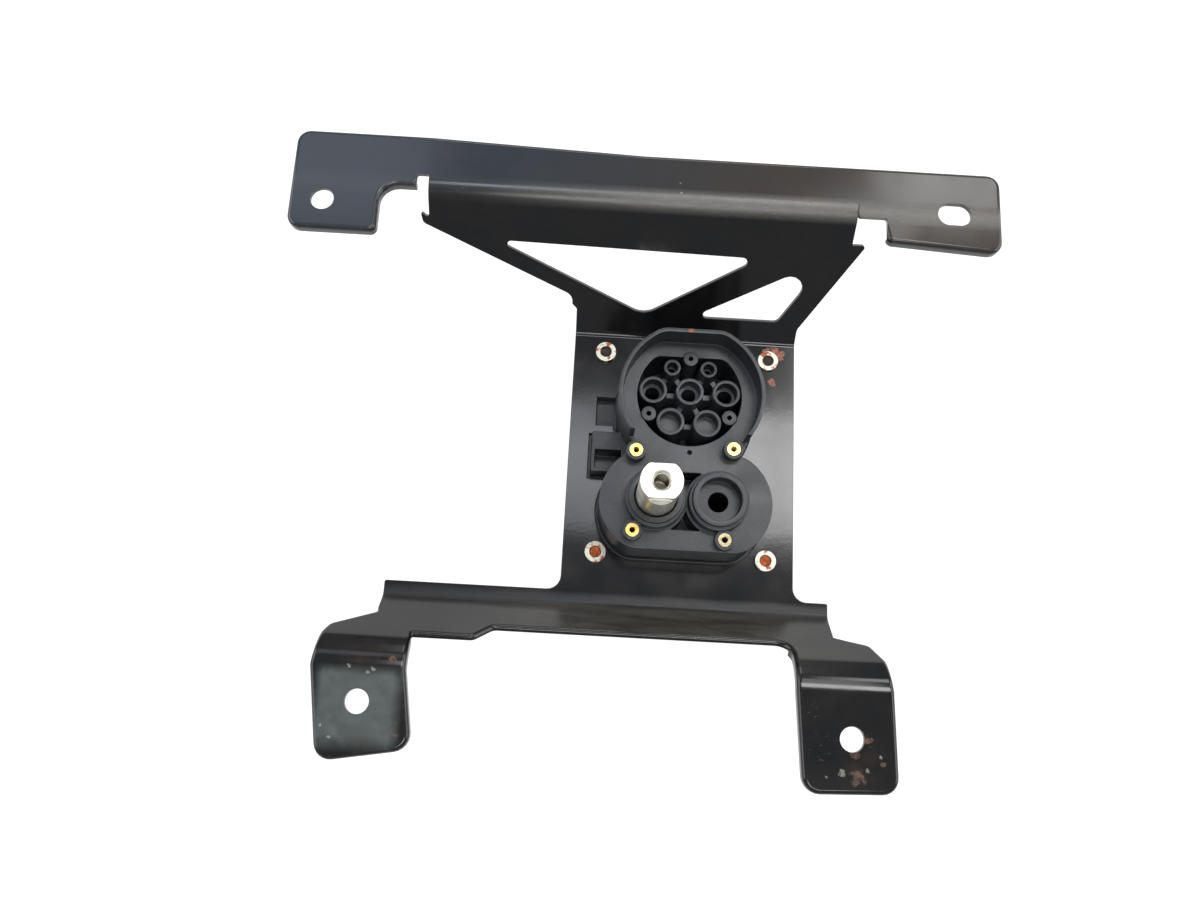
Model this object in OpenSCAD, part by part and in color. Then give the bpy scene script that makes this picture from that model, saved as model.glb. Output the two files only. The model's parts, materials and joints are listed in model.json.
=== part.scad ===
// Charge port inlet for a vehicle, on its folded sheet steel bracket.
// Frame: x to the right, y up the plate, z towards the rear of the vehicle panel.
// The origin is on the earth contact's axis, in the plane of the socket's front rim.

/* [Sheet steel] */
// Thickness of the bracket's sheet
sheet_t = 2.5; // [2:0.1:3]
// Depth of the turned edges, with the sheet's own thickness
lip_h = 5; // [4:0.5:6]
// Inner radius of the folds beside the plate and under the strap
fold_r = 4; // [3:0.5:5]
// Inner radius of the folds over the feet
foot_fold_r = 16.5; // [14:0.5:17]
// Inner radius of the wide fold between the strap and the web
strap_fold_r = 9.5; // [8:0.5:10]

/* [Plate] */
// Height of the plate's rear face over the socket's front rim
plate_z = 40; // [38:0.5:46]
// Width of the plate
plate_w = 104; // [101:0.2:112]
// Place of the fold between plate and web
web_fold_y = 36; // [35:0.5:42]
// Place of the fold between plate and ledge
ledge_fold_y = -92; // [-100:0.5:-88]
// Height of the crossbar over its fold
bar_h = 6.5; // [4:0.5:8]
// Left end of the crossbar
bar_left = -130; // [-134:0.5:-124]
// Right end of the crossbar
bar_right = 67.5; // [64:0.5:70]
// Radius in the corners between plate and crossbar
bar_fillet = 6; // [2:0.5:9]

/* [Strap] */
// Height of the strap over the plate
strap_h = 50; // [44:0.5:60]
// Place of the fold between web and strap
strap_fold_y = 79.5; // [76:0.5:86]
// Height of the strap's top edge over its fold, in the middle
strap_top = 22.6; // [18:0.2:26]
// How much higher the strap's left end stands
strap_left_rise = 3; // [0:0.2:5]
// Left end of the strap
strap_left = -178.5; // [-190:0.5:-172]
// Right end of the strap
strap_right = 132.5; // [126:0.5:145]
// Left end of the fold to the web
fold_left = -119; // [-122:0.2:-114]
// Right end of the fold to the web
fold_right = 69.6; // [66:0.2:73]
// Width of the left relief slot
slot_left_w = 5.2; // [4:0.2:8]
// Width of the right relief notch
slot_right_w = 12.4; // [10:0.2:16]
// Height of the left relief slot's end over the fold
slot_left_up = 7; // [5:0.2:8]
// Depth of the right relief notch's end under the fold
slot_right_down = 1.4; // [1:0.2:4]
// Width of the left ear at its lower edge
ear_left_w = 38.8; // [32:0.2:40]
// Drop of the left ear's lower edge under the fold
ear_left_drop = 21.2; // [20:0.2:26]
// Drop of the right ear's lower edge under the fold
ear_right_drop = 15.4; // [14:0.2:20]
// Radius of the ears' outer corners
ear_r = 6; // [4:0.5:8]
// Radius of the ears' inner corners
ear_inner_r = 3; // [2.6:0.2:4]
// How much the right ear's lower edge falls towards its end
ear_right_fall = 3; // [0:0.2:4]
// Radius of the notch beside the left ear
ear_notch_r = 8; // [5:0.5:10]
// Height of that notch over the strap's fold
ear_notch_up = 1.4; // [0:0.2:3]

/* [Web] */
// Length of the web's left edge that stays in line with the plate
neck_left = 19; // [16:0.2:20]
// How far the web's left edge stands out where it meets the plate's width
neck_bump = 2.2; // [1:0.1:3]
// Length of the web's right edge that stays in line with the plate
neck_right = 7.7; // [6:0.2:10]
// Radius where the web leaves the plate's width
neck_r = 5; // [4:0.5:6]
// Depth of the web's outer corners under the strap's fold
horn_drop = 15; // [13:0.2:18]
// Width of the web's right shoulder outside the fold
horn_right = 6.4; // [5:0.2:8]
// Hook of the web's left shoulder: how far it reaches outwards and upwards
horn_hook = [3.8, 4.5]; // [3.2:0.1:5]
// Sheet left between the windows and the strap's fold
window_top = 22; // [18:0.2:26]
// Sheet left between the windows and the plate's fold
window_low = 11; // [10:0.2:14]
// Left corner of the large window
window_left = -90; // [-93:0.5:-86]
// Right corner of the large window
window_right = 30; // [27:0.5:32]
// Lower corner of the large window
window_tip = -20.6; // [-24:0.2:-17]
// Fall of the large window's upper edge from left to right
window_fall = 2; // [0:0.2:4]
// Lower left corner of the small window
window2_left = 1.4; // [-1:0.2:5]
// Lower right corner of the small window
window2_right = 42; // [38:0.2:44]
// Upper corner of the small window
window2_top = [60.6, 44.2]; // [40:0.2:64]

/* [Ledge and feet] */
// Height of the feet over the plate
foot_h = 28; // [24:0.5:34]
// Angle of the ledge to the plate
ledge_angle = 50; // [46:0.5:54]
// Depth of the ledge along its slope, between the feet
ledge_d = 18.9; // [18:0.1:22]
// Depth of the wider stretch beside the left foot
ledge_wide_d = 26.6; // [25:0.1:27]
// Right end of the wider stretch
ledge_wide_x = -86.5; // [-95:0.5:-80]
// Depth along the slope at which the left foot stands out past the crossbar
shoulder_left_d = 11.8; // [11:0.2:14]
// Depth along the slope at which the right foot stands out past the crossbar
shoulder_right_d = 13.8; // [11:0.2:15]
// Corner of the left shoulder: how far inside the foot's outer edge, and its depth along the slope
shoulder_left = [3.4, 22]; // [3:0.1:23]
// Corner of the right shoulder, in the same way
shoulder_right = [6.2, 17]; // [3:0.1:23]
// Radius of the shoulders' corners
shoulder_r = 5; // [3:0.5:6]
// How far inside the foot's outer edge the fold over it starts
shoulder_in = 1.4; // [1:0.1:2]
// How much wider the right foot is on its inner side at the fold
foot_right_flare = 1.2; // [0:0.2:3]
// Width of a foot
foot_w = 39.2; // [36:0.2:40]
// Middle of the left foot at its fold
foot_left_x = -131.8; // [-133:0.2:-128]
// Middle of the right foot at its fold
foot_right_x = 69; // [66:0.2:70]
// Length of the left foot under its fold
foot_left_len = 35; // [32:0.5:42]
// Length of the right foot under its fold
foot_right_len = 39.5; // [34:0.5:46]
// Lean of the left foot
foot_left_lean = 9.4; // [0:0.2:10]
// Lean of the right foot
foot_right_lean = 2; // [0:0.2:6]
// Radius of the feet's lower corners
foot_r = 7; // [5:0.5:9]

/* [Bracket holes] */
// Diameter of the screw holes in ear and feet
hole_d = 10; // [8:0.1:11]
// Place of the left ear's hole, from its outer lower corner
ear_hole = [14.4, 13.8]; // [10:0.2:18]
// Length of the right ear's slot
ear_slot_l = 14.6; // [12:0.2:18]
// Place of the right ear's slot, from its outer lower corner
ear_slot = [20.8, 17.6]; // [14:0.2:22]
// Height of a foot's hole over its lower edge
foot_hole_up = 21.5; // [16:0.5:24]
// How far a foot's hole lies outside its middle
foot_hole_out = 1; // [0:0.2:4]

/* [Inlet fastening] */
// Nominal diameter of the flange bolts
bolt_d = 5; // [4:0.5:6]
// Spacing of the bolts across the plate
bolt_dx = 76.4; // [74:0.2:80]
// Spacing of the bolts along the plate
bolt_dy = 94.6; // [94:0.2:97]
// Middle of the bolt pattern
bolt_mid = [1, -20.8]; // [-22:0.2:2]
// Diameter of a bolt's flange
bolt_flange_d = 11.8; // [11:0.2:13]
// Width across flats of a bolt's head
bolt_head_af = 8; // [7:0.5:9]
// Height of a bolt's head with its flange
bolt_head_h = 5; // [4:0.2:6]
// How far a bolt's end lies under its nut's face
bolt_end_gap = 0.7; // [0.2:0.1:1]
// Diameter of a clinch nut
nut_d = 9.6; // [9:0.2:11]
// Diameter of a clinch nut's shank in the plate
nut_shank_d = 7.2; // [6.8:0.1:8]
// Height of a clinch nut over the plate
nut_h = 2; // [1.5:0.1:3]
// Outer diameter of a compression sleeve
sleeve_d = 8; // [7.4:0.1:9]
// Clearance of the bolts in the sleeves and threads, on the diameter
bolt_clear = 0.2; // [0.1:0.05:0.5]
// Clearance of what is pressed into the housing or the plate, on the diameter
press_clear = 0.04; // [0.02:0.01:0.1]

/* [Housing flange] */
// Thickness of the flange
flange_t = 6; // [5:0.5:8]
// Flange left outside the bolt pattern
flange_edge = 7.4; // [6.5:0.2:8.5]
// Radius of the flange's corners
flange_r = 7; // [3:0.5:8]
// Gap between the housing and the plate's cut-out
cut_gap = 1.4; // [0.8:0.1:1.8]

/* [AC side] */
// Height of the rear body over the plate
body_h = 30; // [26:0.5:34]
// Radius of the rear AC body
ac_r = 31.1; // [30:0.1:32]
// Drop of the AC body's centre under the earth contact
ac_drop = 3.7; // [3:0.1:4.5]
// Height of the AC body's flat top over its centre
ac_flat = 28.2; // [27:0.1:29]
// Radius that blends the flat top into the round sides
ac_corner_r = 11; // [9:0.5:13]
// Height of the AC collar over the rear body
collar_h = 13; // [8:0.5:16]
// Wall of the AC collar
collar_t = 1.8; // [1.2:0.1:2.4]
// Gap between the collar's ends and the upper posts
collar_gap = 0.4; // [0.2:0.1:2]
// Radius of the AC recess
recess_r = 22.8; // [22.4:0.1:23.6]
// Drop of the recess's centre under the earth contact
recess_drop = 1.5; // [1:0.1:2]
// Height of the recess's flat top over its centre
recess_flat = 17.4; // [16.6:0.1:18.6]
// Radius that blends the recess's flat top into its sides
recess_corner_r = 6; // [4:0.5:8]
// Depth of the recess
recess_d = 26; // [22:0.5:27]
// Spacing of the power contacts in a row
pin_pitch = 16; // [15.6:0.1:16.2]
// Drop of the lower row under the middle row
lower_row = 13.9; // [13.6:0.1:14.2]
// Height of the signal row over the middle row
signal_row = 10.6; // [10.4:0.1:11]
// How far the contact tubes stand over the rear body
tube_rise = 1; // [0:0.2:3]
// Draft of the tubes: how much thicker their wall is at the recess's floor
tube_draft = 1; // [0.4:0.1:1.2]
// Outer diameter of a power tube
tube_d = 12.2; // [11.6:0.1:12.6]
// Bore of a power tube
tube_bore = 9.2; // [8.6:0.1:9.6]
// Depth of a power tube's wide bore
tube_step = 7; // [5:0.5:10]
// Hole for a power contact's shank
contact_d = 6.2; // [5:0.1:7]
// Outer diameter of a signal tube
signal_d = 7.5; // [7:0.1:7.8]
// Bore of a signal tube
signal_bore = 4.7; // [4:0.1:5.2]
// Hole for a signal contact's shank
signal_hole = 3.1; // [2.5:0.1:3.6]
// Diameter of the screw bosses in the recess
boss_d = 6.5; // [6:0.1:7]
// Pilot hole of the screw bosses
boss_hole = 2.2; // [1.6:0.1:2.8]
// Place of the lower screw bosses
boss_low = [17.5, -10.9]; // [-12:0.1:18]
// Height of the upper screw boss
boss_top_y = 15; // [14.6:0.1:16]
// Thickness of the ribs between the tubes
rib_t = 2.6; // [1.4:0.1:3]
// Depth of the ribs' edge under the tubes' ends
rib_drop = 8; // [3:0.5:10]

/* [DC side] */
// Half the spacing of the DC contacts
dc_x = 13.4; // [13.2:0.1:13.8]
// Drop of the DC contacts under the earth contact
dc_drop = 48.5; // [47.6:0.1:49.5]
// Radius of the DC body's ends
dc_r = 23.5; // [22.5:0.1:24]
// Height of the DC body over and under its contacts
dc_half_h = 21.2; // [20.6:0.1:22]
// Radius that blends the flat sides into the round ends
dc_corner_r = 13; // [10:0.5:15]
// Diameter of a contact ring
ring_d = 25.6; // [25:0.1:26]
// Height of a contact ring's wide part over the body
ring_h = 6; // [4:0.5:8]
// Diameter of a contact ring's lip
ring_lip_d = 22.9; // [22:0.1:23.6]
// Height of the lip
ring_lip_h = 3; // [2:0.2:4]
// Bore of a contact ring
ring_bore = 18.4; // [18:0.1:19.4]
// Depth of the ring's bore
ring_bore_d = 7.5; // [6:0.2:8.5]
// Half the height of the pockets' outer edges between the rings
pocket_y = 12.4; // [11.5:0.1:13]
// Half the width of the pockets
pocket_x = 6; // [5:0.1:6.6]
// Depth of the pockets
pocket_d = 14; // [8:0.5:16]

/* [Cover posts] */
// Diameter of a post
post_d = 8.6; // [8.2:0.1:9.4]
// Place of the small blind hole in the bridge between the AC and DC sides
bridge_hole = [0.8, -27.1]; // [-29:0.1:4]
// Diameter of that hole
bridge_hole_d = 2.2; // [1.5:0.1:3]
// Rise of the upper posts over the body
post_high = 6; // [3:0.5:9]
// Rise of the lower posts over the body
post_low = 4; // [2:0.5:7]
// Upper left post
post_a = [-22.4, -28.6]; // [-30:0.1:-20]
// Upper right post
post_b = [19, -26]; // [-28:0.1:20]
// Lower left post
post_c = [-22.5, -62.6]; // [-64:0.1:-20]
// Lower right post
post_e = [16.3, -64.8]; // [-65:0.1:18]
// Outer diameter of a brass insert
insert_d = 5.8; // [5.4:0.1:6.8]
// Length of a brass insert
insert_l = 8; // [6:0.5:10]
// Lead-in and groove depth of a brass insert
insert_groove = 0.5; // [0.3:0.1:0.8]
// Thread bore of a brass insert
insert_bore = 2.5; // [2:0.1:3.4]

/* [Side block] */
// Left face of the side block
block_left = -41.4; // [-43:0.2:-39]
// Lower face of the side block
block_low = -33; // [-34:0.2:-31]
// Upper face of the side block
block_top = -14.5; // [-17:0.2:-12]
// Height of the side block over the plate
block_h = 10; // [6:0.5:14]
// Wall of the side block's pocket
block_t = 1.6; // [1.2:0.1:2.2]
// Height of the pocket in the side block
block_pocket = 8.5; // [6:0.5:10]
// Size of the plate's notch over the side block
side_notch = [8.6, 13.6]; // [6:0.2:16]
// Lower edge of that notch
side_notch_y = -9; // [-10:0.2:-7]
// Depth of the flange's pocket behind that notch
side_pocket = 4.5; // [2:0.5:5]

/* [Socket front] */
// Radius of the socket's AC shroud
socket_r = 32; // [31:0.1:33]
// Wall of the AC shroud
socket_t = 3.4; // [2.8:0.1:4]
// Radius of the contact island
island_r = 22.6; // [22.2:0.1:23.4]
// Depth of the groove round the island
groove_d = 37; // [33:0.5:38]
// Drop of the island's face behind the rim
island_drop = 5; // [3:0.5:8]
// Front bore of a power contact
front_bore = 10.8; // [10:0.1:11.4]
// Front bore of a signal contact
front_signal = 6.6; // [6:0.1:7]
// Depth of the front bores under the island's face
front_bore_d = 30; // [25:0.5:31]
// Radius of the socket's DC ends
socket_dc_r = 20; // [18:0.1:21]
// Diameter of a DC contact's well
well_d = 22; // [20:0.1:23.6]
// Depth of the wells behind the rim
well_depth = 52; // [46:0.5:54]

/* [DC contact] */
// Diameter of the contact's rear post
terminal_d = 17; // [16:0.1:17.4]
// Rise of the rear post over its ring
terminal_rise = 30; // [20:0.5:36]
// Width across the post's flats
terminal_af = 13.8; // [13:0.1:15]
// Length of the flats
terminal_flat_l = 4; // [3:0.5:8]
// Tapped hole in the post's end
terminal_bore = 6.8; // [5:0.1:8]
// Depth of the tapped hole
terminal_bore_l = 18; // [12:0.5:22]
// Diameter of the countersink
terminal_sink = 8.4; // [8.1:0.1:10]
// Diameter of the contact's pin
pin_d = 8; // [7.4:0.1:8.4]
// Drop of the pin's tip behind the rim
pin_drop = 9; // [6:0.5:14]
// Clearance of the pin in its hole, on the diameter
pin_clear = 0.5; // [0.2:0.05:0.8]
// Length of the insulating tip
guard_l = 7; // [5:0.5:10]
// Diameter of the tip's spigot in the pin
guard_spigot = 4; // [3:0.1:5]
// Section of the seal ring
seal_d = 1.8; // [1.4:0.1:2.2]
// Height of the seal ring's middle over the bore's floor
seal_up = 3; // [2.4:0.1:5]
// Clearance of the seal ring in its groove and bore
seal_clear = 0.05; // [0.02:0.01:0.1]
// Thickness of the circlip
clip_t = 1; // [0.8:0.1:1.4]
// Width of the circlip's section
clip_w = 2.4; // [1.8:0.1:3]
// Depth of the circlip's groove in the pin
clip_groove = 0.6; // [0.4:0.1:0.9]
// Gap in the circlip, in degrees
clip_gap = 60; // [30:5:90]
// Clearance of the circlip to its groove and seat
clip_clear = 0.1; // [0.05:0.05:0.2]

/* [Hidden] */
$fn = 64;
cut = 1;
seam = 0.01;
seam_angle = 0.6;
corner_steps = 6;
round_steps = 48;
straight = 89.5;

// Heights from the front rim
plate_front = plate_z - sheet_t;
flange_front = plate_front - flange_t;
strap_z = plate_z + strap_h;
foot_z = plate_z + foot_h;
body_z = plate_z + body_h;
tube_end = body_z + tube_rise;
ring_end = body_z + ring_h + ring_lip_h;
ring_floor = ring_end - ring_bore_d;
recess_floor = body_z - recess_d;
terminal_end = ring_end + terminal_rise;
nut_end = plate_z + nut_h;

// Folds: angle of the web, length along its slope, and tangent lengths on the visible faces
web_angle = atan2(strap_h, strap_fold_y - web_fold_y);
web_len = strap_h / sin(web_angle);
strap_ridge_r = strap_fold_r + sheet_t;
foot_ridge_r = foot_fold_r + sheet_t;
web_low_t = fold_r * tan(web_angle / 2);
web_top_t = strap_ridge_r * tan(web_angle / 2);
ledge_t = fold_r * tan(ledge_angle / 2);
foot_t = foot_ridge_r * tan(ledge_angle / 2);
ledge_len = foot_h / sin(ledge_angle);
foot_fold_y = ledge_fold_y - foot_h / tan(ledge_angle) - foot_t;
bar_top_y = ledge_fold_y + bar_h;

// The collar ends over the higher of the two upper posts
collar_end_y = max(post_a.y, post_b.y) + post_d / 2 + collar_gap;

// Places of the inlet's repeated pieces
bolts = [for (sx = [-1, 1], sy = [-1, 1]) bolt_mid + [sx * bolt_dx / 2, sy * bolt_dy / 2]];
open_contacts = [[-pin_pitch, 0], [0, 0], [pin_pitch, 0]];
blind_contacts = [[-pin_pitch / 2, -lower_row], [pin_pitch / 2, -lower_row]];
signal_contacts = [[-pin_pitch / 2, signal_row], [pin_pitch / 2, signal_row]];
bosses = [[0, boss_top_y], boss_low, [-boss_low.x, boss_low.y]];
upper_posts = [post_a, post_b];
lower_posts = [post_c, post_e];
dc_contacts = [[-dc_x, -dc_drop], [dc_x, -dc_drop]];

// Outlines are lists of [x, y, corner radius, 1 if the edge to the next point is turned back].
function xy(p) = [p.x, p.y];
function ring_at(list, i) = list[(i + len(list)) % len(list)];
function along(p, q) = (xy(q) - xy(p)) / norm(xy(q) - xy(p));
function left_of(u) = [-u.y, u.x];

// One corner of an outline as an arc, or as the bare point where its radius is zero
function corner(before, p, after) =
    let (a = along(p, before), b = along(p, after))
    let (half = acos(max(-1, min(1, a * b))) / 2, r = p[2])
    r <= 0 || half > straight ? [xy(p)] :
    let (mid = xy(p) + (a + b) / norm(a + b) * r / sin(half))
    let (from = xy(p) + a * r / tan(half) - mid, to = xy(p) + b * r / tan(half) - mid)
    let (start = atan2(from.y, from.x), raw = atan2(to.y, to.x) - start)
    let (sweep = raw > 180 ? raw - 360 : raw < -180 ? raw + 360 : raw)
    [for (k = [0 : corner_steps]) mid + r * [cos(start + sweep * k / corner_steps),
                                             sin(start + sweep * k / corner_steps)]];

function rounded(list) =
    [for (i = [0 : len(list) - 1]) each corner(ring_at(list, i - 1), list[i], ring_at(list, i + 1))];

// The inside of an outline's turned edges: they move in by the sheet's thickness, the others move out
function inset(list) = [for (i = [0 : len(list) - 1])
    let (p = list[i], u = along(ring_at(list, i - 1), p), v = along(p, ring_at(list, i + 1)))
    let (du = ring_at(list, i - 1)[3] == 1 ? sheet_t : -cut, dv = p[3] == 1 ? sheet_t : -cut)
    let (turn = left_of(v) * u, bulge = cross(u, v))
    let (slide = abs(turn) < 0.001 ? 0 : (dv - left_of(u) * left_of(v) * du) / turn)
    let (q = xy(p) + left_of(u) * du + u * slide)
    [q.x, q.y, p[2] == 0 ? 0 : max(0.3, bulge > 0 ? p[2] - sheet_t : p[2] + sheet_t), p[3]]];

module flat_sheet(list) {
    translate([0, 0, -sheet_t]) linear_extrude(sheet_t) polygon(rounded(list));
}

module lipped_sheet(list) {
    difference() {
        translate([0, 0, -lip_h]) linear_extrude(lip_h) polygon(rounded(list));
        translate([0, 0, -lip_h - cut]) linear_extrude(lip_h - sheet_t + cut) polygon(rounded(inset(list)));
    }
}

// A fold round a line along x: its section is turned about that line from one angle through another.
// It is a seam slimmer than the sheet all round, and runs a little way into the sheets at both ends.
module fold(x, y, z, from, sweep) {
    translate([x, y, z]) rotate([90, 0, 90]) rotate([0, 0, from - seam_angle])
        rotate_extrude(angle = sweep + 2 * seam_angle) children();
}

module fold_section(width, inner_r) {
    translate([inner_r + seam, seam]) square([sheet_t - 2 * seam, width - 2 * seam]);
}

module on_web() {
    translate([0, web_fold_y, plate_z]) rotate([web_angle, 0, 0]) children();
}

module on_ledge() {
    translate([0, ledge_fold_y, plate_z]) rotate([-ledge_angle, 0, 0]) children();
}

// Bracket

function strap_outline() =
    let (low = strap_fold_y + web_top_t, top = strap_fold_y + strap_top)
    let (slot_l = fold_left - slot_left_w, slot_r = fold_right + slot_right_w)
    let (notch = strap_fold_y + ear_notch_up, ear_in = strap_left + ear_left_w)
    [[fold_right, low, 0, 0],
     [fold_right, strap_fold_y - slot_right_down, 1, 0],
     [slot_r, strap_fold_y - slot_right_down, 1, 0],
     [slot_r, strap_fold_y - ear_right_drop + ear_right_fall, ear_inner_r, 1],
     [strap_right, strap_fold_y - ear_right_drop, ear_r, 1],
     [strap_right, top, ear_r, 1],
     [(fold_left + fold_right) / 2, top, 60, 1],
     [fold_left, top + strap_left_rise, 60, 1],
     [strap_left, top + strap_left_rise, ear_r, 1],
     [strap_left, strap_fold_y - ear_left_drop, ear_r, 1],
     [ear_in, strap_fold_y - ear_left_drop, ear_inner_r, 1],
     [ear_in, notch, ear_notch_r, 1],
     [slot_l, notch, 0, 0],
     [slot_l, strap_fold_y + slot_left_up, 1, 0],
     [fold_left, strap_fold_y + slot_left_up, 1, 0],
     [fold_left, low, 0, 0]];

function web_outline() =
    let (low = web_low_t, top = web_len - web_top_t, horn = web_len - horn_drop)
    [[-plate_w / 2, low, 0],
     [plate_w / 2, low, 0],
     [plate_w / 2, neck_right, neck_r],
     [fold_right + horn_right, horn, 1],
     [fold_right, horn, 1],
     [fold_right, top, 0],
     [fold_left, top, 0],
     [fold_left, horn + horn_hook.y / 4, 1],
     [fold_left - horn_hook.x, horn + horn_hook.y, 0.5],
     [fold_left - horn_hook.x * 0.75, horn - horn_hook.y / 6, 3],
     [-plate_w / 2 - neck_bump, neck_left, neck_r],
     [-plate_w / 2 - neck_bump, neck_left - 2 * neck_bump, 1],
     [-plate_w / 2, neck_left - 3 * neck_bump, 1]];

function window_outline() =
    let (top = web_len - window_top)
    [[window_left, top, 1.6],
     [window_tip, window_low, 10],
     [window_right, top - window_fall, 2.4]];

function window2_outline() =
    [[window2_left, window_low, 2],
     [window2_right, window_low, 3],
     [window2_top.x, window2_top.y, 6]];

function plate_outline() =
    let (top = web_fold_y - web_low_t, low = ledge_fold_y + ledge_t)
    [[plate_w / 2, top, 0],
     [-plate_w / 2, top, 0],
     [-plate_w / 2, bar_top_y, bar_fillet],
     [bar_left, bar_top_y, 1],
     [bar_left, low, 0],
     [bar_right, low, 0],
     [bar_right, bar_top_y, 1],
     [plate_w / 2, bar_top_y, bar_fillet]];

// The ledge's own y runs up its slope, so what lies towards the feet is negative.
function ledge_outline() =
    let (top = -ledge_t, low = foot_t - ledge_len, half = foot_w / 2)
    let (out_l = foot_left_x - half, out_r = foot_right_x + half)
    let (in_r = foot_right_x - half - foot_right_flare)
    [[bar_right, top, 0, 0],
     [bar_left, top, 0, 0],
     [bar_left, -shoulder_left_d, 0, 0],
     [out_l + shoulder_left.x, -shoulder_left.y, shoulder_r, 1],
     [out_l + shoulder_in, low, 0, 0],
     [foot_left_x + half, low, 0, 1],
     [foot_left_x + half, -ledge_wide_d, 0.6, 0],
     [ledge_wide_x, -ledge_wide_d, 4, 0],
     [ledge_wide_x + ledge_wide_d - ledge_d, -ledge_d, 4, 0],
     [in_r, -ledge_d, foot_r, 1],
     [in_r, low, 0, 0],
     [out_r - shoulder_in, low, 0, 1],
     [out_r - shoulder_right.x, -shoulder_right.y, shoulder_r, 0],
     [bar_right, -shoulder_right_d, 0, 0]];

// A foot in its own frame: the fold is the x axis, and the sides lean towards +x going down.
// The flare widens it at the fold, on the side towards -x.
function foot_outline(length, lean, flare) =
    let (half = foot_w / 2, out = length + half * tan(lean), in = length - half * tan(lean))
    [[half, 0, 0, 0],
     [-half - flare, 0, 0, 1],
     [-half + out * sin(lean), -out * cos(lean), foot_r, 1],
     [half + in * sin(lean), -in * cos(lean), foot_r, 1]];

module foot_fold_section(flare) {
    width = foot_w + flare;
    translate([foot_ridge_r - lip_h + seam, seam - foot_w / 2 - flare]) difference() {
        square([lip_h - 2 * seam, width - 2 * seam]);
        translate([-cut, sheet_t - 2 * seam])
            square([lip_h - sheet_t + cut, width - 2 * sheet_t + 2 * seam]);
    }
}

// What is cut off the outer side of the fold, so that it grows from the shoulder to the foot's width
module shoulder_taper(side) {
    start = foot_ridge_r * sin(ledge_angle);
    out = foot_w / 2;
    low = out + shoulder_in / 10;
    high = out - shoulder_in - 6 * seam;
    step = (low - high) / start;
    translate([0, 0, -foot_h]) linear_extrude(foot_h + cut) polygon([
        [side * low, 0],
        [side * (low + foot_w), 0],
        [side * (low + foot_w), start + lip_h],
        [side * (high - step * lip_h), start + lip_h]]);
}

module foot(x, length, lean, side, flare) {
    difference() {
        fold(x, foot_fold_y, foot_z - foot_ridge_r, 90 - ledge_angle, ledge_angle)
            foot_fold_section(flare);
        translate([x, foot_fold_y, foot_z]) shoulder_taper(side);
    }
    translate([x, foot_fold_y, foot_z]) difference() {
        lipped_sheet(foot_outline(length, lean, flare));
        rotate([0, 0, lean]) translate([side * foot_hole_out, foot_hole_up - length, -lip_h])
            cylinder(d = hole_d, h = lip_h + cut);
    }
}

module strap() {
    corner_l = [strap_left, strap_fold_y - ear_left_drop];
    corner_r = [strap_right, strap_fold_y - ear_right_drop];
    half_slot = (ear_slot_l - hole_d) / 2;
    translate([0, 0, strap_z]) difference() {
        lipped_sheet(strap_outline());
        translate([corner_l.x + ear_hole.x, corner_l.y + ear_hole.y, -lip_h])
            cylinder(d = hole_d, h = lip_h + cut);
        translate([corner_r.x - ear_slot.x, corner_r.y + ear_slot.y, -lip_h]) linear_extrude(lip_h + cut) {
            for (side = [-1, 1]) translate([side * half_slot, 0]) circle(d = hole_d);
            square([2 * half_slot, hole_d], center = true);
        }
    }
}

module web() {
    on_web() difference() {
        flat_sheet(web_outline());
        translate([0, 0, -sheet_t - cut]) linear_extrude(sheet_t + 2 * cut) {
            polygon(rounded(window_outline()));
            polygon(rounded(window2_outline()));
        }
    }
    fold(-plate_w / 2, web_fold_y - web_low_t, plate_z + fold_r, -90, web_angle)
        fold_section(plate_w, fold_r);
    fold(fold_left, strap_fold_y + web_top_t, strap_z - strap_ridge_r, 90, web_angle)
        fold_section(fold_right - fold_left, strap_fold_r);
}

module plate() {
    translate([0, 0, plate_z]) difference() {
        flat_sheet(plate_outline());
        translate([0, 0, -sheet_t - cut]) linear_extrude(sheet_t + 2 * cut) {
            rear_outline(cut_gap);
            block_outline(cut_gap);
            side_outline();
        }
        for (p = bolts) translate([p.x, p.y, -sheet_t - cut])
            cylinder(d = nut_shank_d + press_clear, h = sheet_t + 2 * cut);
    }
}

module ledge() {
    on_ledge() lipped_sheet(ledge_outline());
    fold(bar_left, ledge_fold_y + ledge_t, plate_z + fold_r, -90 - ledge_angle, ledge_angle)
        fold_section(bar_right - bar_left, fold_r);
}

module bracket() {
    color("#1b1d1f") union() {
        strap();
        web();
        plate();
        ledge();
        foot(foot_left_x, foot_left_len, foot_left_lean, -1, 0);
        foot(foot_right_x, foot_right_len, foot_right_lean, 1, foot_right_flare);
    }
}

// Inlet fastening

module clinch_nuts() {
    color("#c9c7bd") for (p = bolts) translate([p.x, p.y, plate_front]) difference() {
        union() {
            cylinder(d = nut_shank_d, h = sheet_t);
            translate([0, 0, sheet_t]) cylinder(d = nut_d, h = nut_h);
        }
        translate([0, 0, -cut]) cylinder(d = bolt_d + bolt_clear, h = sheet_t + nut_h + 2 * cut);
    }
}

module flange_bolts() {
    washer_h = bolt_head_h / 4;
    color("#8c6a4a") for (p = bolts) translate([p.x, p.y, flange_front]) {
        cylinder(d = bolt_d, h = nut_end - bolt_end_gap - flange_front);
        translate([0, 0, -washer_h]) cylinder(d = bolt_flange_d, h = washer_h);
        translate([0, 0, -bolt_head_h])
            cylinder(d = bolt_head_af / cos(30), h = bolt_head_h, $fn = 6);
    }
}

module compression_sleeves() {
    color("#a9abad") for (p = bolts) translate([p.x, p.y, flange_front]) difference() {
        cylinder(d = sleeve_d, h = flange_t);
        translate([0, 0, -cut]) cylinder(d = bolt_d + bolt_clear, h = flange_t + 2 * cut);
    }
}

// Housing outlines

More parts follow.
